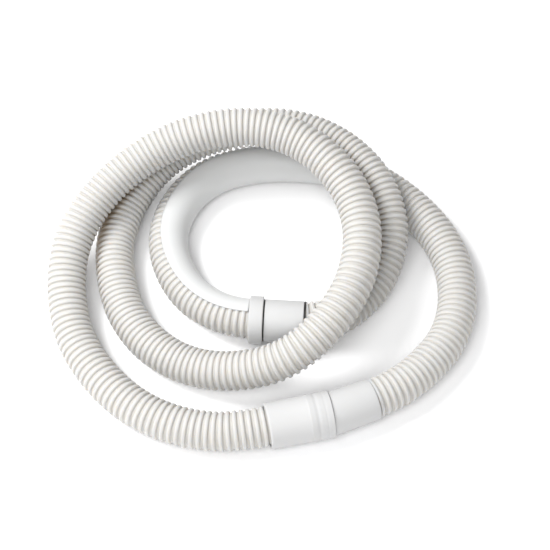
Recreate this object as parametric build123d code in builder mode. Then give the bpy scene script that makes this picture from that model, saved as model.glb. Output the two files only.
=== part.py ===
from build123d import *
import math
import os

# Pool vacuum hose: two corrugated sections joined into one closed coil by two couplings.
# Millimetres, +Z up, lying on the plane z = 0, origin at the bottom centre of the bounding box.

# Hose
HOSE_RADIUS = 24.0            # over the crests of the corrugation, 48 mm across
HOSE_BORE_RADIUS = 20.0       # inside the roots of the corrugation
HOSE_ENTRY = 25.0             # length of hose held inside the grip cuff
ARC_SHARE = 0.45              # share of the shorter run that each bend's arc takes up

# Push-fit coupling: the grip cuff
GRIP_RADIUS = 28.0
GRIP_LENGTH = 77.0
GRIP_SHOULDER_ROUND = 3.0
GRIP_LIP_ROUND = 1.0
BAND_RADIUS = 28.6            # raised band next to the lip
BAND_LENGTH = 28.5
BAND_GROOVES = [(18.0, 7.0, 1.0), (8.0, 3.4, 0.5)]    # distance from the lip, width, depth
SOCKET_WEB = 4.0              # stop between the hose end and the socket
SOCKET_RADIUS = 23.0
LIP_CLEARANCE = 0.6           # seam between the socket's lip and the male cuff

# Push-fit coupling: the male cuff
MALE_NOSE_RADIUS = 22.9
MALE_NOSE_LENGTH = 38.0
MALE_LIP_RADIUS = 26.6        # beside the socket's lip
MALE_END_RADIUS = 25.4        # where the hose enters
MALE_ENTRY = 25.5             # length of hose held inside
NOSE_OVERLAP = 8.0            # length that the nose and the body share before the lip cuts it
BORE_OVERLAP = 4.6            # length that the two bores share where they meet at an angle
BORE_RADIUS = 18.5            # water way through the fittings

# Swivel coupling, measured along its axis from the long hose's end face
COLLAR_RADIUS = 29.2
COLLAR_LEFT = -41.2
COLLAR_RIGHT = -24.3
COLLAR_ROUND = 1.5
NIPPLE_RADIUS = 21.0
NIPPLE_END = -5.0
CUFF_RADIUS = 25.75
CUFF_LEFT = -22.6
CUFF_RIGHT = 24.6
CUFF_ROUND = 0.8
SWIVEL_CLEARANCE = 0.3
FLANGE_RADIUS = 24.6
FLANGE_THICKNESS = 2.5
BUSH_WALL = 2.5
BUSH_DEPTH = 22.0
SEAL_RADIUS = 25.4
SEAL_THICKNESS = 1.4
CLIP_GAP = 0.3
CLIP_INNER_RADIUS = 24.1
CLIP_OUTER_RADIUS = 25.4
CLIP_WIDTH = 2.0
CLIP_SPAN = 220.0             # the gap is underneath, on the near side

# Bend guide: a moulded shell clipped over the inner side of the short hose's tight turn
GUIDE_INNER_RADIUS = 24.1
GUIDE_OUTER_RADIUS = 25.4
GUIDE_LOW_ANGLE = -42.0       # below the horizontal, on the inner side of the turn
GUIDE_SWEEP_ANGLE = 152.0     # up over the top to the outer side
GUIDE_LAST_BEND = 10          # the guide ends half-way along the run after this bend

# Centre line of the long hose, from the grip cuff round to the swivel coupling
LONG_ROUTE = [
    (31, -195.3, 28.6), (-14, -205.3, 28.6), (-62, -207, 25), (-116, -193, 24), (-163, -165, 24),
    (-202, -122, 24), (-229, -74, 25), (-240, -18, 33), (-238, 34, 47), (-218, 80, 63),
    (-182, 119.5, 81.5), (-132, 151, 98), (-77, 166.5, 113.5), (-18, 172.5, 118), (42, 157.5, 116),
    (91, 115.5, 108.5), (118, 66, 98), (123, 10, 91), (109, -46, 86), (75, -97, 77),
    (28, -129, 58), (-26, -133, 38), (-82, -122, 26), (-131, -93, 24), (-165, -48, 24),
    (-181, 6, 24), (-185, 63, 24), (-168, 120, 29), (-130, 169, 46), (-77, 193, 64),
    (-13, 207, 70), (48, 200, 74), (103, 168, 76), (143, 121, 69), (161, 63, 51),
    (148, 10, 35), (121, -28, 26), (77, -61, 30), (26, -58, 30),
]

# Centre line of the short hose, from the swivel coupling round to the male cuff
SHORT_ROUTE = [
    (-1.2, -56.4, 30), (-26.7, -54.9, 30), (-62, -41, 27), (-95, -12, 25), (-116, 34, 24),
    (-119, 80, 24), (-101, 127, 24), (-66, 163, 24), (-14, 181, 24), (44, 183, 24),
    (104, 175, 24), (158, 143, 24), (205, 96, 24), (235, 40, 24), (242, -22, 24),
    (228, -79, 24), (194, -122, 25), (155, -154.5, 27.5), (109, -173, 27.5),
]


def bend_radii(route):
    """Radius of the arc at each inner point, from its shorter run and its turn."""
    points = [Vector(*point) for point in route]
    radii = []
    for before, corner, after in zip(points, points[1:], points[2:]):
        arriving = corner - before
        leaving = after - corner
        half_turn = math.radians(arriving.get_angle(leaving)) / 2
        shorter = min(arriving.length, leaving.length)
        radii.append(ARC_SHARE * shorter / math.tan(half_turn))
    return radii


def fitting_plane(end, beyond):
    """Plane with X along a fitting's level axis and Y the distance from that axis."""
    return Plane(origin=end, x_dir=Vector(*beyond) - Vector(*end), z_dir=(0, 0, 1))


def fitting_axis(plane):
    return Axis(plane.origin, plane.x_dir)


def point_on(plane, station):
    return plane.origin + plane.x_dir * station


def report_hose(name, solid, path, radii):
    """Prints the bends and compares the solid's volume with section times length."""
    section = math.pi * (HOSE_RADIUS**2 - HOSE_BORE_RADIUS**2)
    print(name, "length", round(path.length), "radii", [round(radius) for radius in radii])
    print(name, "volume / (section x length)", round(solid.volume / (section * path.length), 5))


grip_away = Vector(*LONG_ROUTE[0]) * 2 - Vector(*LONG_ROUTE[1])
grip_plane = fitting_plane(LONG_ROUTE[0], grip_away)
male_plane = fitting_plane(SHORT_ROUTE[-1], SHORT_ROUTE[-2])
swivel_plane = fitting_plane(LONG_ROUTE[-1], LONG_ROUTE[-2])

GRIP_LEFT = -HOSE_ENTRY
GRIP_LIP = GRIP_LEFT + GRIP_LENGTH
SHORT_END = COLLAR_RIGHT - (Vector(*SHORT_ROUTE[0]) - point_on(swivel_plane, COLLAR_RIGHT)).length

long_radii = bend_radii(LONG_ROUTE)
short_radii = bend_radii(SHORT_ROUTE)

# Long hose
with BuildPart() as long_hose:
    with BuildLine() as long_path:
        FilletPolyline(*LONG_ROUTE, radius=long_radii)
    with BuildSketch(Plane(origin=long_path.wire() @ 0, z_dir=long_path.wire() % 0)):
        Circle(HOSE_RADIUS)
        Circle(HOSE_BORE_RADIUS, mode=Mode.SUBTRACT)
    sweep(path=long_path.wire())
report_hose("long_hose", long_hose.part, long_path.wire(), long_radii)

# Short hose
with BuildPart() as short_hose:
    with BuildLine() as short_path:
        FilletPolyline(*SHORT_ROUTE, radius=short_radii)
    with BuildSketch(Plane(origin=short_path.wire() @ 0, z_dir=short_path.wire() % 0)):
        Circle(HOSE_RADIUS)
        Circle(HOSE_BORE_RADIUS, mode=Mode.SUBTRACT)
    sweep(path=short_path.wire())
report_hose("short_hose", short_hose.part, short_path.wire(), short_radii)

# Grip cuff: holds the long hose's end and takes the male cuff's nose
with BuildPart() as grip_cuff:
    with BuildSketch(grip_plane) as grip_profile:
        with BuildLine():
            Polyline(
                (GRIP_LEFT, HOSE_RADIUS),
                (0, HOSE_RADIUS),
                (0, BORE_RADIUS),
                (SOCKET_WEB, BORE_RADIUS),
                (SOCKET_WEB, SOCKET_RADIUS),
                (GRIP_LIP, SOCKET_RADIUS),
                (GRIP_LIP, BAND_RADIUS),
                (GRIP_LIP - BAND_LENGTH, BAND_RADIUS),
                (GRIP_LIP - BAND_LENGTH, GRIP_RADIUS),
                (GRIP_LEFT, GRIP_RADIUS),
                close=True,
            )
        make_face()
        outer_left = grip_profile.vertices().group_by(Axis.X)[0].sort_by(Axis.Y)[-1]
        outer_right = grip_profile.vertices().group_by(Axis.X)[-1].sort_by(Axis.Y)[-1]
        fillet(outer_left, GRIP_SHOULDER_ROUND)
        fillet(outer_right, GRIP_LIP_ROUND)
        for from_lip, width, depth in BAND_GROOVES:
            with Locations((GRIP_LIP - from_lip, BAND_RADIUS)):
                Ellipse(width / 2, depth, mode=Mode.SUBTRACT)
    revolve(axis=fitting_axis(grip_plane))

# Male cuff: its nose lies in the socket, and its tapering body leans towards the short hose
lip_point = point_on(grip_plane, GRIP_LIP + LIP_CLEARANCE)
lip_station = -(Vector(*SHORT_ROUTE[-1]) - lip_point).length
nose_start = GRIP_LIP - MALE_NOSE_LENGTH
with BuildPart() as male_cuff:
    with BuildSketch(male_plane):
        with BuildLine():
            Polyline(
                (lip_station - NOSE_OVERLAP, 0),
                (MALE_ENTRY, 0),
                (MALE_ENTRY, MALE_END_RADIUS),
                (lip_station, MALE_LIP_RADIUS),
                (lip_station - NOSE_OVERLAP, MALE_LIP_RADIUS),
                close=True,
            )
        make_face()
    revolve(axis=fitting_axis(male_plane))
    split(bisect_by=Plane(origin=lip_point, z_dir=grip_plane.x_dir), keep=Keep.TOP)
    with BuildSketch(grip_plane):
        with BuildLine():
            Polyline(
                (nose_start, 0),
                (GRIP_LIP + NOSE_OVERLAP, 0),
                (GRIP_LIP + NOSE_OVERLAP, MALE_NOSE_RADIUS),
                (nose_start, MALE_NOSE_RADIUS),
                close=True,
            )
        make_face()
    revolve(axis=fitting_axis(grip_plane))
    with BuildSketch(grip_plane):
        with BuildLine():
            Polyline(
                (nose_start, 0),
                (GRIP_LIP + LIP_CLEARANCE, 0),
                (GRIP_LIP + LIP_CLEARANCE, BORE_RADIUS),
                (nose_start, BORE_RADIUS),
                close=True,
            )
        make_face()
    revolve(axis=fitting_axis(grip_plane), mode=Mode.SUBTRACT)
    with BuildSketch(male_plane):
        with BuildLine():
            Polyline(
                (lip_station - BORE_OVERLAP, 0),
                (MALE_ENTRY, 0),
                (MALE_ENTRY, HOSE_RADIUS),
                (0, HOSE_RADIUS),
                (0, BORE_RADIUS),
                (lip_station - BORE_OVERLAP, BORE_RADIUS),
                close=True,
            )
        make_face()
    revolve(axis=fitting_axis(male_plane), mode=Mode.SUBTRACT)

# Nipple collar: grips the short hose's end and carries the nipple that the swivel cuff turns on
with BuildPart() as nipple_collar:
    with BuildSketch(swivel_plane) as collar_profile:
        with BuildLine():
            Polyline(
                (COLLAR_LEFT, HOSE_RADIUS),
                (SHORT_END, HOSE_RADIUS),
                (SHORT_END, BORE_RADIUS),
                (NIPPLE_END, BORE_RADIUS),
                (NIPPLE_END, NIPPLE_RADIUS),
                (COLLAR_RIGHT, NIPPLE_RADIUS),
                (COLLAR_RIGHT, COLLAR_RADIUS),
                (COLLAR_LEFT, COLLAR_RADIUS),
                close=True,
            )
        make_face()
        fillet(collar_profile.vertices().group_by(Axis.Y)[-1], COLLAR_ROUND)
    revolve(axis=fitting_axis(swivel_plane))

# Seal ring: a flat ring on the nipple, against the collar's face
with BuildPart() as seal_ring:
    with BuildSketch(swivel_plane):
        with Locations((COLLAR_RIGHT, NIPPLE_RADIUS)):
            Rectangle(SEAL_THICKNESS, SEAL_RADIUS - NIPPLE_RADIUS, align=(Align.MIN, Align.MIN))
    revolve(axis=fitting_axis(swivel_plane))

# Retaining clip: an open ring round the long hose, just outside the swivel cuff's mouth
clip_plane = swivel_plane * Rotation(-CLIP_SPAN / 2, 0, 0)
with BuildPart() as retaining_clip:
    with BuildSketch(clip_plane):
        with Locations((CUFF_RIGHT + CLIP_GAP, CLIP_INNER_RADIUS)):
            Rectangle(CLIP_WIDTH, CLIP_OUTER_RADIUS - CLIP_INNER_RADIUS, align=(Align.MIN, Align.MIN))
    revolve(axis=fitting_axis(swivel_plane), revolution_arc=CLIP_SPAN)

# Swivel bush: pressed into the long hose's end, with the flange that the swivel cuff turns behind
with BuildPart() as swivel_bush:
    with BuildSketch(swivel_plane):
        with BuildLine():
            Polyline(
                (-FLANGE_THICKNESS, HOSE_BORE_RADIUS - BUSH_WALL),
                (BUSH_DEPTH, HOSE_BORE_RADIUS - BUSH_WALL),
                (BUSH_DEPTH, HOSE_BORE_RADIUS),
                (0, HOSE_BORE_RADIUS),
                (0, FLANGE_RADIUS),
                (-FLANGE_THICKNESS, FLANGE_RADIUS),
                close=True,
            )
        make_face()
    revolve(axis=fitting_axis(swivel_plane))

# Swivel cuff: turns on the nipple and the flange
groove_left = -FLANGE_THICKNESS - SWIVEL_CLEARANCE
groove_radius = FLANGE_RADIUS + SWIVEL_CLEARANCE
mouth_radius = HOSE_RADIUS + SWIVEL_CLEARANCE
nipple_bore = NIPPLE_RADIUS + SWIVEL_CLEARANCE
with BuildPart() as swivel_cuff:
    with BuildSketch(swivel_plane) as cuff_profile:
        with BuildLine():
            Polyline(
                (CUFF_LEFT, nipple_bore),
                (groove_left, nipple_bore),
                (groove_left, groove_radius),
                (SWIVEL_CLEARANCE, groove_radius),
                (SWIVEL_CLEARANCE, mouth_radius),
                (CUFF_RIGHT, mouth_radius),
                (CUFF_RIGHT, CUFF_RADIUS),
                (CUFF_LEFT, CUFF_RADIUS),
                close=True,
            )
        make_face()
        fillet(cuff_profile.vertices().group_by(Axis.Y)[-1], CUFF_ROUND)
    revolve(axis=fitting_axis(swivel_plane))

# Bend guide: an open shell that follows the short hose from the collar round its tight turn
guide_start = point_on(swivel_plane, COLLAR_LEFT)
run_start = Vector(*SHORT_ROUTE[GUIDE_LAST_BEND])
run_end = Vector(*SHORT_ROUTE[GUIDE_LAST_BEND + 1])
guide_route = [guide_start] + SHORT_ROUTE[1:GUIDE_LAST_BEND + 1] + [(run_start + run_end) / 2]
with BuildPart() as bend_guide:
    with BuildLine() as guide_path:
        FilletPolyline(*guide_route, radius=short_radii[:GUIDE_LAST_BEND])
    inner_side = (guide_path.wire() % 0).cross(Vector(0, 0, 1))
    with BuildSketch(Plane(origin=guide_start, x_dir=inner_side, z_dir=-(guide_path.wire() % 0))):
        with BuildLine():
            inner = CenterArc((0, 0), GUIDE_INNER_RADIUS, GUIDE_LOW_ANGLE, GUIDE_SWEEP_ANGLE)
            outer = CenterArc((0, 0), GUIDE_OUTER_RADIUS, GUIDE_LOW_ANGLE, GUIDE_SWEEP_ANGLE)
            Line(inner @ 0, outer @ 0)
            Line(inner @ 1, outer @ 1)
        make_face()
    sweep(path=guide_path.wire())

nodes = {
    "long_hose": long_hose,
    "short_hose": short_hose,
    "grip_cuff": grip_cuff,
    "male_cuff": male_cuff,
    "nipple_collar": nipple_collar,
    "seal_ring": seal_ring,
    "swivel_bush": swivel_bush,
    "swivel_cuff": swivel_cuff,
    "retaining_clip": retaining_clip,
    "bend_guide": bend_guide,
}
os.makedirs("parts", exist_ok=True)
for name, node in nodes.items():
    node.part.label = name
    export_step(node.part, f"parts/{name}.step")
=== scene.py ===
"""Pool vacuum hose: two corrugated sections in a closed coil, joined by two couplings."""
import math

import bpy
import numpy as np
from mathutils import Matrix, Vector


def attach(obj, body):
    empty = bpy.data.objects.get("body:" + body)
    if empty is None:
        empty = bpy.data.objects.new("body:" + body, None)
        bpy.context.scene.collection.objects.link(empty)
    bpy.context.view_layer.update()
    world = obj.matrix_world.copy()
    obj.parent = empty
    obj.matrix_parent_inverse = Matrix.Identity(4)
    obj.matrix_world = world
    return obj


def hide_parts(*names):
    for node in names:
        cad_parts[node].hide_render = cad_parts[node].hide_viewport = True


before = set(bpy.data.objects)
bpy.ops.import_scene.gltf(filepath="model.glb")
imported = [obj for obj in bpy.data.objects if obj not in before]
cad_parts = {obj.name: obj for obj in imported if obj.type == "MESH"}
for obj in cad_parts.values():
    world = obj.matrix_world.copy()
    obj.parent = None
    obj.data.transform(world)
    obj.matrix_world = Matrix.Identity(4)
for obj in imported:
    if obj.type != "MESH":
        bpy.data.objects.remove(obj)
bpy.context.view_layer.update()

# Metres throughout. Hose
HOSE_RADIUS = 0.024            # over the crests
HOSE_ROOT_RADIUS = 0.0216      # in the grooves
HOSE_ENTRY = 0.025             # length of hose held inside the grip cuff
RIB_WIDTH = 0.0053
LONG_PITCH = (                 # distance along the hose, and spacing of its ribs there
    (0.00, 0.0083), (0.25, 0.0080), (0.50, 0.0075), (0.70, 0.0075), (0.85, 0.0081), (0.97, 0.0088),
    (1.15, 0.0087), (1.28, 0.0074), (1.38, 0.0071), (1.50, 0.0079), (1.62, 0.0075), (1.75, 0.0080),
    (1.85, 0.0071), (1.95, 0.0075), (2.18, 0.0082),
)
SHORT_PITCH = ((0.00, 0.0078), (0.12, 0.0075), (0.45, 0.0080), (0.60, 0.0076), (0.94, 0.0080))
RIB_PROFILE = (                # half widths along the rib, and height as a share of its depth
    (-1.00, 0.00), (-0.92, 0.45), (-0.70, 0.82), (-0.32, 0.99),
    (0.32, 0.99), (0.70, 0.82), (0.92, 0.45), (1.00, 0.00),
)
RIB_SIDES = 44                 # points round one ring of the hose

# Route of the long hose, from the grip cuff round to the swivel coupling
LONG_ROUTE = [
    (0.031, -0.1953, 0.0286), (-0.014, -0.2053, 0.0286), (-0.062, -0.207, 0.025), (-0.116, -0.193, 0.024),
    (-0.163, -0.165, 0.024), (-0.202, -0.122, 0.024), (-0.229, -0.074, 0.025), (-0.240, -0.018, 0.033),
    (-0.238, 0.034, 0.047), (-0.218, 0.080, 0.063), (-0.182, 0.1195, 0.0815), (-0.132, 0.151, 0.098),
    (-0.077, 0.1665, 0.1135), (-0.018, 0.1725, 0.118), (0.042, 0.1575, 0.116), (0.091, 0.1155, 0.1085),
    (0.118, 0.066, 0.098), (0.123, 0.010, 0.091), (0.109, -0.046, 0.086), (0.075, -0.097, 0.077),
    (0.028, -0.129, 0.058), (-0.026, -0.133, 0.038), (-0.082, -0.122, 0.026), (-0.131, -0.093, 0.024),
    (-0.165, -0.048, 0.024), (-0.181, 0.006, 0.024), (-0.185, 0.063, 0.024), (-0.168, 0.120, 0.029),
    (-0.130, 0.169, 0.046), (-0.077, 0.193, 0.064), (-0.013, 0.207, 0.070), (0.048, 0.200, 0.074),
    (0.103, 0.168, 0.076), (0.143, 0.121, 0.069), (0.161, 0.063, 0.051), (0.148, 0.010, 0.035),
    (0.121, -0.028, 0.026), (0.077, -0.061, 0.030), (0.026, -0.058, 0.030),
]

# Route of the short hose, from the swivel coupling round to the male cuff
SHORT_ROUTE = [
    (-0.0012, -0.0564, 0.030), (-0.0267, -0.0549, 0.030), (-0.062, -0.041, 0.027), (-0.095, -0.012, 0.025),
    (-0.116, 0.034, 0.024), (-0.119, 0.080, 0.024), (-0.101, 0.127, 0.024), (-0.066, 0.163, 0.024),
    (-0.014, 0.181, 0.024), (0.044, 0.183, 0.024), (0.104, 0.175, 0.024), (0.158, 0.143, 0.024),
    (0.205, 0.096, 0.024), (0.235, 0.040, 0.024), (0.242, -0.022, 0.024), (0.228, -0.079, 0.024),
    (0.194, -0.122, 0.025), (0.155, -0.1545, 0.0275), (0.109, -0.173, 0.0275),
]

# Push-fit coupling, measured along each fitting's axis from its hose's end
GRIP_LEFT = -0.025
GRIP_LIP = 0.052
GRIP_RADIUS = 0.028
BAND_RADIUS = 0.0286
BAND_LENGTH = 0.0285
BAND_RISE = 0.0015             # length over which the band rises from the barrel
BAND_STEPS = 50                # outline points along the band
LIP_FLAT = 0.0012              # left free at the lip, for its rounding
BAND_GROOVES = ((0.018, 0.0075, 0.0005), (0.008, 0.0034, 0.0002))    # from the lip, width, depth
SOCKET_RADIUS = 0.023
SOCKET_END = 0.004
SHOULDER_ROUND = 0.003         # lengths that the corners' roundings take, here and below
GRIP_LIP_ROUND = 0.0007
LIP_GAP = 0.0006
MALE_LIP_RADIUS = 0.0266
MALE_END_RADIUS = 0.0254
MALE_ENTRY = 0.0255
MALE_LIP_ROUND = 0.0003
MALE_END_ROUND = 0.0012
NECK_LENGTH = 0.010            # the male cuff's last stretch, a little wider where it starts
NECK_SWELL = 0.0004
NECK_ROUND = 0.004
SEAM_FILL = 0.0005             # step that closes most of the seam
SEAM_RADIUS = 0.0262
LEAN_LENGTH = 0.03             # the male cuff's rings turn from the grip's axis to its own over this

# Swivel coupling, measured along its axis from the long hose's end
COLLAR_LEFT = -0.0412
COLLAR_RIGHT = -0.0243
COLLAR_RADIUS = 0.0292
COLLAR_LEFT_ROUND = 0.0018
COLLAR_RIGHT_ROUND = 0.0015
NIPPLE_RADIUS = 0.021
NIPPLE_END = -0.005
NIPPLE_ROUND = 0.0005
SEAL_RADIUS = 0.0254
SEAL_THICKNESS = 0.0014
CUFF_LEFT = -0.0226
CUFF_RIGHT = 0.0246
CUFF_RADIUS = 0.02575
CUFF_ROUND = 0.0009
CUFF_BORE_RADIUS = 0.0213      # turns on the nipple
CUFF_MOUTH_RADIUS = 0.0243     # turns round the hose
POCKET_LEFT = -0.0028          # groove inside the cuff, for the bush's flange
POCKET_RIGHT = 0.0003
POCKET_RADIUS = 0.0249
FLANGE_LEFT = -0.0025
FLANGE_RADIUS = 0.0246
LINER_END = 0.022
LINER_RADIUS = 0.020
LINER_BORE_RADIUS = 0.0175
LINER_ROUND = 0.0004
CLIP_GAP = 0.0003
CLIP_WIDTH = 0.0020
CLIP_INNER_RADIUS = 0.0241
CLIP_OUTER_RADIUS = 0.0254
CLIP_HALF_SPAN = math.radians(110.0)
FINE_ROUND = 0.0003            # on the thin rings' edges
BORE_RADIUS = 0.0185
MOUTH_RADIUS = 0.0242          # of each cuff, round the hose

# Bend guide over the short hose, measured along that hose
GUIDE_START = 0.0141
GUIDE_END = 0.500
GUIDE_INNER_RADIUS = 0.0241
GUIDE_OUTER_RADIUS = 0.0253
GUIDE_LOW_EDGE = -42.0         # degrees above the level, on the inner side of the turn
GUIDE_HIGH_EDGE = ((0.014, 98.0), (0.12, 104.0), (0.18, 109.0), (0.29, 118.0), (0.34, 120.0))
GUIDE_SECTION = (              # share of the way from the low edge to the high one, and of the thickness
    (0.0, 0.5), (0.006, 0.9), (0.02, 1.0), (0.93, 1.0), (0.995, 0.45), (1.0, 0.2),
)
GUIDE_ROWS = 220
GUIDE_COLUMNS = 40

# Materials
HOSE_COLOR = (0.512, 0.510, 0.504)
# Painted shade: the grooves between the ribs get a darker, warmer colour than the crests.
GROOVE_SHADE_COLOR = (0.505, 0.488, 0.456)
# Painted shade: dark brown in the crevices where close strands shade each other.
CREVICE_SHADE_COLOR = (0.19, 0.13, 0.065)
CREVICE_SHADE_REACH = 0.03              # another strand nearer than this brings painted shade
CREVICE_SHADE_FAINT = 0.50              # openness of the surface at which the painted shade starts, and is darkest
CREVICE_SHADE_FULL = 0.12
CLOUD_SCALE = 22.0
GRAIN_SCALE = 900.0
GRAIN_DEPTH = 0.0001
GRAIN_STRENGTH = 0.15


# ---------------------------------------------------------------- helpers

def unit(vector):
    return np.array(vector) / np.linalg.norm(vector, axis=-1)[..., None]


def full_circle(sides):
    return np.arange(sides) * 2 * math.pi / sides


def spokes(side, above, angles):
    """Unit directions round each ring, at angles from its level side towards its upward side."""
    return side[:, None] * np.cos(angles)[..., None] + above[:, None] * np.sin(angles)[..., None]


def mesh_object(name, points, faces, material, smooth=True):
    mesh = bpy.data.meshes.new(name)
    mesh.from_pydata([tuple(point) for point in points], [], faces)
    mesh.polygons.foreach_set("use_smooth", [smooth] * len(mesh.polygons))
    mesh.materials.append(material)
    mesh.update()
    obj = bpy.data.objects.new(name, mesh)
    bpy.context.scene.collection.objects.link(obj)
    return obj


def stand_for(obj, node, body):
    """obj is shown in place of the CAD node, and moves with its body."""
    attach(obj, body)
    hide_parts(node)


def route_line(name, route):
    """Points along the smooth NURBS line whose control points are the route's."""
    curve = bpy.data.curves.new(name, "CURVE")
    curve.dimensions = "3D"
    curve.resolution_u = 40
    spline = curve.splines.new("NURBS")
    spline.points.add(len(route) - 1)
    for point, place in zip(spline.points, route):
        point.co = (*place, 1.0)
    spline.order_u = 3
    spline.use_endpoint_u = True
    holder = bpy.data.objects.new(name, curve)
    line = bpy.data.meshes.new_from_object(holder)
    points = np.array([vertex.co[:] for vertex in line.vertices])
    bpy.data.objects.remove(holder)
    bpy.data.curves.remove(curve)
    bpy.data.meshes.remove(line)
    return points


class Line:
    """A polyline measured by its length, with a frame that doesn't twist along it."""

    def __init__(self, points):
        self.points = points
        steps = np.linalg.norm(np.diff(points, axis=0), axis=1)
        self.reach = np.concatenate([[0.0], np.cumsum(steps)])
        self.length = self.reach[-1]
        self.tangents = unit(np.gradient(points, self.reach, axis=0))

    def sample(self, values, distance):
        return np.stack([np.interp(distance, self.reach, values[:, k]) for k in range(3)], axis=-1)

    def frames(self, distance):
        """Centre, direction, level side on the right of it, and upward side at each distance."""
        along = unit(self.sample(self.tangents, distance))
        side = unit(np.cross(along, [0.0, 0.0, 1.0]))
        return self.sample(self.points, distance), along, side, np.cross(side, along)


class Axle:
    """A fitting's level axis, from its origin towards another point."""

    def __init__(self, origin, towards):
        self.origin = np.array(origin)
        self.along = unit(np.array(towards) - self.origin)

    def at(self, station):
        return self.origin + self.along * station

    def frames(self, stations):
        """Centre, direction, level side and upward side at each station."""
        along = np.tile(self.along, (len(stations), 1))
        side = unit(np.cross(along, [0.0, 0.0, 1.0]))
        return self.origin + along * stations[:, None], along, side, np.cross(side, along)


def grid_faces(rows, columns, closed_rows, closed_columns):
    """Quads of a grid of points whose rows and columns close on themselves or not."""
    faces = []
    for row in range(rows if closed_rows else rows - 1):
        below = (row + 1) % rows
        for column in range(columns if closed_columns else columns - 1):
            following = (column + 1) % columns
            faces.append((
                row * columns + column,
                below * columns + column,
                below * columns + following,
                row * columns + following,
            ))
    return faces


def eased(profile, steps=6):
    """Points of a closed profile given as (station, radius, easing), its corners rounded."""
    points = []
    for index, (station, radius, easing) in enumerate(profile):
        corner = np.array([station, radius])
        if not easing:
            points.append(corner)
            continue
        start = corner + unit(np.array(profile[index - 1][:2]) - corner) * easing
        end = corner + unit(np.array(profile[(index + 1) % len(profile)][:2]) - corner) * easing
        for share in np.linspace(0.0, 1.0, steps):
            points.append(start * (1 - share)**2 + corner * 2 * share * (1 - share) + end * share**2)
    return np.array(points)


def lathe(name, frames, radii, material, sides=112, arc=None):
    """A closed profile turned about its axis, all the way round or through an arc with end caps."""
    centres, _, side, above = frames
    angles = full_circle(sides) if arc is None else np.linspace(arc[0], arc[1], sides)
    points = centres[:, None] + spokes(side, above, angles) * radii[:, None, None]
    rows = len(radii)
    faces = grid_faces(rows, sides, closed_rows=True, closed_columns=arc is None)
    if arc is not None:
        faces.append(tuple(row * sides for row in reversed(range(rows))))
        faces.append(tuple(row * sides + sides - 1 for row in range(rows)))
    return mesh_object(name, points.reshape(-1, 3), faces, material)


# ---------------------------------------------------------------- materials

def noise(tree, place, scale, detail):
    """A noise pattern fixed to the object."""
    node = tree.nodes.new("ShaderNodeTexNoise")
    node.inputs["Scale"].default_value = scale
    node.inputs["Detail"].default_value = detail
    tree.links.new(place.outputs["Object"], node.inputs["Vector"])
    return node.outputs["Fac"]


def mapped(tree, value, source=(0.0, 1.0), result=(0.0, 1.0)):
    """value taken from the source range to the result range, and kept inside it."""
    node = tree.nodes.new("ShaderNodeMapRange")
    node.inputs["From Min"].default_value = source[0]
    node.inputs["From Max"].default_value = source[1]
    node.inputs["To Min"].default_value = result[0]
    node.inputs["To Max"].default_value = result[1]
    tree.links.new(value, node.inputs["Value"])
    return node.outputs["Result"]


def tinted(tree, color, tint, amount):
    """color turned towards the tint by amount."""
    node = tree.nodes.new("ShaderNodeMix")
    node.data_type = "RGBA"
    node.inputs["B"].default_value = (*tint, 1.0)
    tree.links.new(amount, node.inputs["Factor"])
    tree.links.new(color, node.inputs["A"])
    return node.outputs["Result"]


def clouded(tree, place, color, mottle):
    """color with faint clouds a few centimetres across."""
    strength = mapped(tree, noise(tree, place, CLOUD_SCALE, 3.0), result=(1.0 - mottle, 1.0))
    node = tree.nodes.new("ShaderNodeVectorMath")
    node.operation = "SCALE"
    node.inputs[0].default_value = color
    tree.links.new(strength, node.inputs["Scale"])
    return node.outputs["Vector"]


def moulded_grain(tree, place):
    node = tree.nodes.new("ShaderNodeBump")
    node.inputs["Strength"].default_value = GRAIN_STRENGTH
    node.inputs["Distance"].default_value = GRAIN_DEPTH
    tree.links.new(noise(tree, place, GRAIN_SCALE, 2.0), node.inputs["Height"])
    return node.outputs["Normal"]


def crevice_shade_amount(tree):
    """Painted shade: how far the colour turns dark brown where the object's own surface closes in, as
    between strands that touch.
    """
    node = tree.nodes.new("ShaderNodeAmbientOcclusion")
    node.samples = 16
    node.only_local = True
    node.inputs["Distance"].default_value = CREVICE_SHADE_REACH
    return mapped(tree, node.outputs["AO"], source=(CREVICE_SHADE_FAINT, CREVICE_SHADE_FULL))


def plastic(name, color, roughness, subsurface=0.1, mottle=0.02, specular=0.5):
    """Satin plastic with faint clouds in its colour and a fine moulded grain."""
    material = bpy.data.materials.new(name)
    material.use_nodes = True
    tree = material.node_tree
    shader = tree.nodes["Principled BSDF"]
    shader.inputs["Base Color"].default_value = (*color, 1.0)
    shader.inputs["Roughness"].default_value = roughness
    shader.inputs["Specular IOR Level"].default_value = specular
    shader.inputs["Subsurface Weight"].default_value = subsurface
    shader.inputs["Subsurface Radius"].default_value = (1.0, 0.85, 0.65)
    shader.inputs["Subsurface Scale"].default_value = 0.006
    place = tree.nodes.new("ShaderNodeTexCoord")
    tree.links.new(clouded(tree, place, color, mottle), shader.inputs["Base Color"])
    tree.links.new(moulded_grain(tree, place), shader.inputs["Normal"])
    return material


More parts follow.
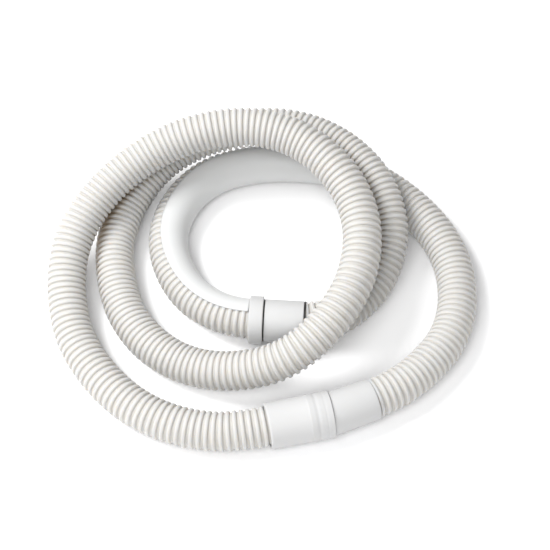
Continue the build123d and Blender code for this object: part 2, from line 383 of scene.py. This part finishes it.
def hose_plastic():
    """Soft plastic with painted shade: darker and warmer in the grooves between the ribs, and painted brown
    shade between close strands.
    """
    material = plastic("hose_plastic", HOSE_COLOR, 0.55, subsurface=0.8, mottle=0.03, specular=0.25)
    tree = material.node_tree
    socket = tree.nodes["Principled BSDF"].inputs["Base Color"]
    groove = tree.nodes.new("ShaderNodeAttribute")
    groove.attribute_name = "groove"
    # Painted shade: the colour is tinted darker and warmer towards the root of each groove.
    groove_shaded = tinted(tree, socket.links[0].from_socket, GROOVE_SHADE_COLOR, groove.outputs["Fac"])
    # Painted shade: dark brown where close strands shade each other.
    tree.links.new(tinted(tree, groove_shaded, CREVICE_SHADE_COLOR, crevice_shade_amount(tree)), socket)
    return material


def floor_material():
    material = bpy.data.materials.new("floor_paper")
    material.use_nodes = True
    shader = material.node_tree.nodes["Principled BSDF"]
    shader.inputs["Base Color"].default_value = (0.96, 0.96, 0.965, 1.0)
    shader.inputs["Roughness"].default_value = 0.8
    shader.inputs["Specular IOR Level"].default_value = 0.1
    return material


HOSE_PLASTIC = hose_plastic()
CUFF_PLASTIC = plastic("cuff_plastic", (0.505, 0.505, 0.505), 0.55, specular=0.25)
GUIDE_PLASTIC = plastic("guide_plastic", (0.585, 0.589, 0.585), 0.5, specular=0.3)
SEAL_RUBBER = plastic("seal_rubber", (0.012, 0.012, 0.012), 0.6, subsurface=0.0)
CLIP_PLASTIC = plastic("clip_plastic", (0.012, 0.012, 0.012), 0.5, subsurface=0.0)


# ---------------------------------------------------------------- hoses

def rib_middles(length, pitches):
    """Distances along a hose of the middles of its ribs, a little closer together in some places."""
    distances = np.linspace(0.0, length, 2000)
    density = 1.0 / np.interp(distances, *zip(*pitches))
    counted = np.concatenate([[0.0], np.cumsum((density[1:] + density[:-1]) / 2 * np.diff(distances))])
    ribs = round(counted[-1])
    return np.interp((np.arange(ribs) + 0.5) * counted[-1] / ribs, counted, distances)


def corrugated_hose(name, line, pitches):
    """Mesh tube of stiff ring-shaped ribs along the line: the grooves between them take the bend."""
    middles = rib_middles(line.length, pitches)
    ribs = len(middles)
    centres, along, side, above = line.frames(middles)
    offsets = np.array([offset for offset, _ in RIB_PROFILE]) * RIB_WIDTH / 2
    heights = np.array([height for _, height in RIB_PROFILE])
    radii = HOSE_ROOT_RADIUS + (HOSE_RADIUS - HOSE_ROOT_RADIUS) * heights
    rings = centres[:, None] + along[:, None] * offsets[:, None]
    points = rings[:, :, None] + spokes(side, above, full_circle(RIB_SIDES))[:, None] * radii[:, None, None]
    faces = grid_faces(ribs * len(RIB_PROFILE), RIB_SIDES, closed_rows=False, closed_columns=True)
    obj = mesh_object(name, points.reshape(-1, 3), faces, HOSE_PLASTIC)
    # Depth into the groove between ribs, 0 on the crest and 1 at the root: the mask for the painted groove
    # shade.
    groove = obj.data.attributes.new("groove", "FLOAT", "POINT")
    groove.data.foreach_set("value", np.tile(np.repeat(1.0 - heights, RIB_SIDES), ribs))
    stand_for(obj, name.removesuffix("_ribs"), "hose")
    tuple(line.sample(line.points, HOSE_ENTRY))


long_line = Line(route_line("long_route", LONG_ROUTE))
short_line = Line(route_line("short_route", SHORT_ROUTE))
corrugated_hose("long_hose_ribs", long_line, LONG_PITCH)
corrugated_hose("short_hose_ribs", short_line, SHORT_PITCH)


# ---------------------------------------------------------------- push-fit coupling

GRIP_AXLE = Axle(LONG_ROUTE[0], np.array(LONG_ROUTE[0]) * 2 - np.array(LONG_ROUTE[1]))
MALE_AXLE = Axle(SHORT_ROUTE[-1], SHORT_ROUTE[-2])


def grip_cuff():
    """Barrel with a rounded shoulder, and a raised band with two shallow valleys next to the lip."""
    band = GRIP_LIP - np.linspace(BAND_LENGTH, LIP_FLAT, BAND_STEPS)
    radii = np.interp(band, [band[0], band[0] + BAND_RISE], [GRIP_RADIUS, BAND_RADIUS])
    for from_lip, width, depth in BAND_GROOVES:
        away = np.clip(np.abs(band - GRIP_LIP + from_lip) / (width / 2), 0.0, 1.0)
        radii -= depth * (1 + np.cos(math.pi * away)) / 2
    outside = [(station, radius, 0) for station, radius in zip(band, radii)]
    profile = eased([
        (GRIP_LEFT, MOUTH_RADIUS, 0),
        (GRIP_LEFT, GRIP_RADIUS, SHOULDER_ROUND),
        *outside,
        (GRIP_LIP, BAND_RADIUS, GRIP_LIP_ROUND),
        (GRIP_LIP, SOCKET_RADIUS, 0),
        (SOCKET_END, SOCKET_RADIUS, 0),
        (SOCKET_END, BORE_RADIUS, 0),
        (0.0, BORE_RADIUS, 0),
        (0.0, MOUTH_RADIUS, 0),
    ])
    obj = lathe("grip_cuff_shape", GRIP_AXLE.frames(profile[:, 0]), profile[:, 1], CUFF_PLASTIC)
    stand_for(obj, "grip_cuff", "hose")


def male_cuff():
    """Tapering cuff that starts square to the grip's lip and leans over to its own hose."""
    lip_point = GRIP_AXLE.at(GRIP_LIP + LIP_GAP)
    lip_station = -np.linalg.norm(MALE_AXLE.origin - lip_point)
    profile = eased([
        (lip_station - SEAM_FILL, BORE_RADIUS, 0),
        (lip_station - SEAM_FILL, SEAM_RADIUS, 0),
        (lip_station, SEAM_RADIUS, 0),
        (lip_station, MALE_LIP_RADIUS, MALE_LIP_ROUND),
        (MALE_ENTRY - NECK_LENGTH, MALE_END_RADIUS + NECK_SWELL, NECK_ROUND),
        (MALE_ENTRY, MALE_END_RADIUS, MALE_END_ROUND),
        (MALE_ENTRY, MOUTH_RADIUS, 0),
        (0.0, MOUTH_RADIUS, 0),
        (0.0, BORE_RADIUS, 0),
    ])
    centres, along, side, above = MALE_AXLE.frames(profile[:, 0])
    lean = np.clip((profile[:, 0] - lip_station) / LEAN_LENGTH, 0.0, 1.0)[:, None]
    grip_side = GRIP_AXLE.frames(profile[:, 0])[2]
    side = unit(grip_side * (1 - lean) + side * lean)
    obj = lathe("male_cuff_shape", (centres, along, side, above), profile[:, 1], CUFF_PLASTIC)
    stand_for(obj, "male_cuff", "hose")


grip_cuff()
male_cuff()


# ---------------------------------------------------------------- swivel coupling

SWIVEL_AXLE = Axle(LONG_ROUTE[-1], LONG_ROUTE[-2])


def swivel_part(name, profile, material, body, arc=None):
    points = eased(profile)
    obj = lathe(name + "_shape", SWIVEL_AXLE.frames(points[:, 0]), points[:, 1], material, arc=arc)
    stand_for(obj, name, body)


def nipple_collar():
    """Collar on the short hose's end, with the nipple that the swivel cuff turns on."""
    hose_end = -np.linalg.norm(SWIVEL_AXLE.origin - np.array(SHORT_ROUTE[0]))
    profile = (
        (COLLAR_LEFT, MOUTH_RADIUS, 0),
        (COLLAR_LEFT, COLLAR_RADIUS, COLLAR_LEFT_ROUND),
        (COLLAR_RIGHT, COLLAR_RADIUS, COLLAR_RIGHT_ROUND),
        (COLLAR_RIGHT, NIPPLE_RADIUS, 0),
        (NIPPLE_END, NIPPLE_RADIUS, NIPPLE_ROUND),
        (NIPPLE_END, BORE_RADIUS, 0),
        (hose_end, BORE_RADIUS, 0),
        (hose_end, MOUTH_RADIUS, 0),
    )
    swivel_part("nipple_collar", profile, CUFF_PLASTIC, "hose")


def seal_ring():
    profile = (
        (COLLAR_RIGHT, NIPPLE_RADIUS, 0),
        (COLLAR_RIGHT, SEAL_RADIUS, FINE_ROUND),
        (COLLAR_RIGHT + SEAL_THICKNESS, SEAL_RADIUS, FINE_ROUND),
        (COLLAR_RIGHT + SEAL_THICKNESS, NIPPLE_RADIUS, 0),
    )
    swivel_part("seal_ring", profile, SEAL_RUBBER, "hose")


def swivel_cuff():
    """Cuff with an inner groove that turns behind the bush's flange."""
    profile = (
        (CUFF_LEFT, CUFF_BORE_RADIUS, 0),
        (CUFF_LEFT, CUFF_RADIUS, CUFF_ROUND),
        (CUFF_RIGHT, CUFF_RADIUS, CUFF_ROUND),
        (CUFF_RIGHT, CUFF_MOUTH_RADIUS, FINE_ROUND),
        (POCKET_RIGHT, CUFF_MOUTH_RADIUS, 0),
        (POCKET_RIGHT, POCKET_RADIUS, 0),
        (POCKET_LEFT, POCKET_RADIUS, 0),
        (POCKET_LEFT, CUFF_BORE_RADIUS, 0),
    )
    swivel_part("swivel_cuff", profile, CUFF_PLASTIC, "swivel")


def swivel_bush():
    """Liner inside the long hose's end, with the flange that the swivel cuff turns behind."""
    profile = (
        (FLANGE_LEFT, LINER_BORE_RADIUS, 0),
        (FLANGE_LEFT, FLANGE_RADIUS, FINE_ROUND),
        (0.0, FLANGE_RADIUS, FINE_ROUND),
        (0.0, LINER_RADIUS, 0),
        (LINER_END, LINER_RADIUS, LINER_ROUND),
        (LINER_END, LINER_BORE_RADIUS, LINER_ROUND),
    )
    swivel_part("swivel_bush", profile, CUFF_PLASTIC, "hose")


def retaining_clip():
    """Open ring round the hose, just outside the swivel cuff's mouth."""
    left = CUFF_RIGHT + CLIP_GAP
    profile = (
        (left, CLIP_INNER_RADIUS, 0),
        (left, CLIP_OUTER_RADIUS, FINE_ROUND),
        (left + CLIP_WIDTH, CLIP_OUTER_RADIUS, FINE_ROUND),
        (left + CLIP_WIDTH, CLIP_INNER_RADIUS, 0),
    )
    arc = (math.pi - CLIP_HALF_SPAN, math.pi + CLIP_HALF_SPAN)
    swivel_part("retaining_clip", profile, CLIP_PLASTIC, "hose", arc=arc)


nipple_collar()
seal_ring()
swivel_cuff()
swivel_bush()
retaining_clip()


# ---------------------------------------------------------------- bend guide

def bend_guide():
    """Thin open shell along the short hose. Its outer edge climbs over the hose and thins away."""
    distances = np.linspace(GUIDE_START, GUIDE_END, GUIDE_ROWS)
    centres, _, side, above = short_line.frames(distances)
    high_edges = np.interp(distances, *zip(*GUIDE_HIGH_EDGE))
    shares = np.linspace(0.0, 1.0, GUIDE_COLUMNS)
    thickness = (GUIDE_OUTER_RADIUS - GUIDE_INNER_RADIUS) * np.interp(shares, *zip(*GUIDE_SECTION))
    outer = GUIDE_INNER_RADIUS + thickness
    radii = np.concatenate([outer, np.full(len(shares), GUIDE_INNER_RADIUS)])
    across = np.concatenate([shares, shares[::-1]])
    angles = np.radians(GUIDE_LOW_EDGE + (high_edges[:, None] - GUIDE_LOW_EDGE) * across)
    points = centres[:, None] + spokes(side, above, angles) * radii[:, None]
    rows, columns = points.shape[:2]
    faces = grid_faces(rows, columns, closed_rows=False, closed_columns=True)
    faces.append(tuple(range(columns)))
    faces.append(tuple((rows - 1) * columns + column for column in reversed(range(columns))))
    obj = mesh_object("bend_guide_shape", points.reshape(-1, 3), faces, GUIDE_PLASTIC)
    stand_for(obj, "bend_guide", "hose")


bend_guide()


# ---------------------------------------------------------------- camera, floor and light

def camera():
    target = Vector((0.016, 0.027, 0.0))
    distance = 2.4
    elevation = math.radians(58.0)
    away = Vector((0.0, -math.cos(elevation), math.sin(elevation)))
    data = bpy.data.cameras.new("camera")
    data.lens = 125.7
    data.sensor_width = 36.0
    obj = bpy.data.objects.new("camera", data)
    obj.location = target + away * distance
    obj.rotation_euler = (math.pi / 2 - elevation, 0.0, 0.0)
    bpy.context.scene.collection.objects.link(obj)
    bpy.context.scene.camera = obj


def floor():
    half = 4.0
    corners = [(-half, -half, 0.0), (half, -half, 0.0), (half, half, 0.0), (-half, half, 0.0)]
    obj = mesh_object("floor", corners, [(0, 1, 2, 3)], floor_material(), smooth=False)


def area_light(name, place, size, power):
    """A round light that looks at the origin."""
    data = bpy.data.lights.new(name, "AREA")
    data.shape = "DISK"
    data.size = size
    data.energy = power
    obj = bpy.data.objects.new(name, data)
    obj.location = place
    obj.rotation_euler = Vector(place).to_track_quat("Z", "Y").to_euler()
    bpy.context.scene.collection.objects.link(obj)


def lights():
    world = bpy.data.worlds.new("world")
    world.use_nodes = True
    background = world.node_tree.nodes["Background"]
    background.inputs["Color"].default_value = (1.0, 1.0, 1.0, 1.0)
    background.inputs["Strength"].default_value = 0.48
    bpy.context.scene.world = world
    area_light("key", place=(-1.6, 0.5, 2.3), size=1.4, power=82.0)
    area_light("fill", place=(-0.4, -1.35, 2.1), size=1.5, power=40.0)
    bpy.context.scene.view_settings.view_transform = "Standard"


camera()
floor()
lights()
